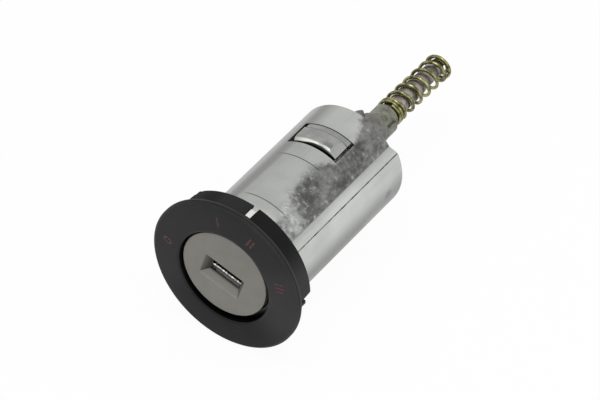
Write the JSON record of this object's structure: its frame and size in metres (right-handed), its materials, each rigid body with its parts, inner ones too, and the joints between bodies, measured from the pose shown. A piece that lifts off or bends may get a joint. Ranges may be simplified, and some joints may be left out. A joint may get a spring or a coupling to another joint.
{
  "type": "ignition lock cylinder",
  "caption": "Ignition lock cylinder with round dial bezel, key face, barrel housing with raised rib and sprung catch, and a driver with a spring on its tail pin.",
  "frame": {"origin": "on the lock's axis, in the plane of the key face", "axes": "+Y along the lock from its face to its tail, +Z towards the top of the dial and the catch, +X to the right as the driver sees the dial"},
  "size_m": [0.0404, 0.0914, 0.0404],
  "materials": {
    "zinc_casting": "satin zinc casting",
    "driver_zinc": "dull dark zinc casting",
    "bezel_plastic": "fine matt",
    "cap_satin": "warm grey satin",
    "brass": "stamped",
    "spring_steel": "bright",
    "yellow_zinc": "yellow zinc plated",
    "pin_steel": "ground"
  },
  "bodies": {
    "housing": {"housing": "zinc_casting", "bezel": "bezel_plastic", "rear_washer": "spring_steel", "catch_spring": "spring_steel"},
    "plug": {"plug": "driver_zinc", "face_cap": "cap_satin", "shutter_pin": "spring_steel", "shutter_spring": "spring_steel", "wafer_1": "brass", "wafer_2": "brass", "wafer_3": "brass", "wafer_4": "brass", "wafer_5": "brass", "wafer_6": "brass", "wafer_7": "brass", "wafer_8": "brass", "wafer_spring_1": "spring_steel", "wafer_spring_2": "spring_steel", "wafer_spring_3": "spring_steel", "wafer_spring_4": "spring_steel", "wafer_spring_5": "spring_steel", "wafer_spring_6": "spring_steel", "wafer_spring_7": "spring_steel", "wafer_spring_8": "spring_steel", "plug_clip": "spring_steel", "driver": "driver_zinc", "driver_pin": "spring_steel", "tail_pin": "pin_steel", "tail_spring": "yellow_zinc"},
    "catch": {"retaining_catch": "zinc_casting"},
    "shutter": {"shutter": "spring_steel"}
  },
  "joints": [
    {"name": "plug_turn", "type": "hinge", "parent": "housing", "child": "plug", "pos_m": [0, 0, 0], "axis": [0, 1, 0], "range_deg": [0, 155]},
    {"name": "catch_press", "type": "slide", "parent": "housing", "child": "catch", "axis": [0, 0, -1], "range_m": [0, 0.0011], "stiffness_N_per_m": 1500, "springref_m": -0.001, "deforming": ["catch_spring"]},
    {"name": "shutter_open", "type": "hinge", "parent": "plug", "child": "shutter", "pos_m": [-0.00137, 0.00295, -0.00324], "axis": [-0.9511, 0, 0.309], "range_deg": [0, 85], "stiffness_Nm_per_rad": 0.0005, "springref_deg": -17.19, "deforming": ["shutter_spring"]}
  ]
}
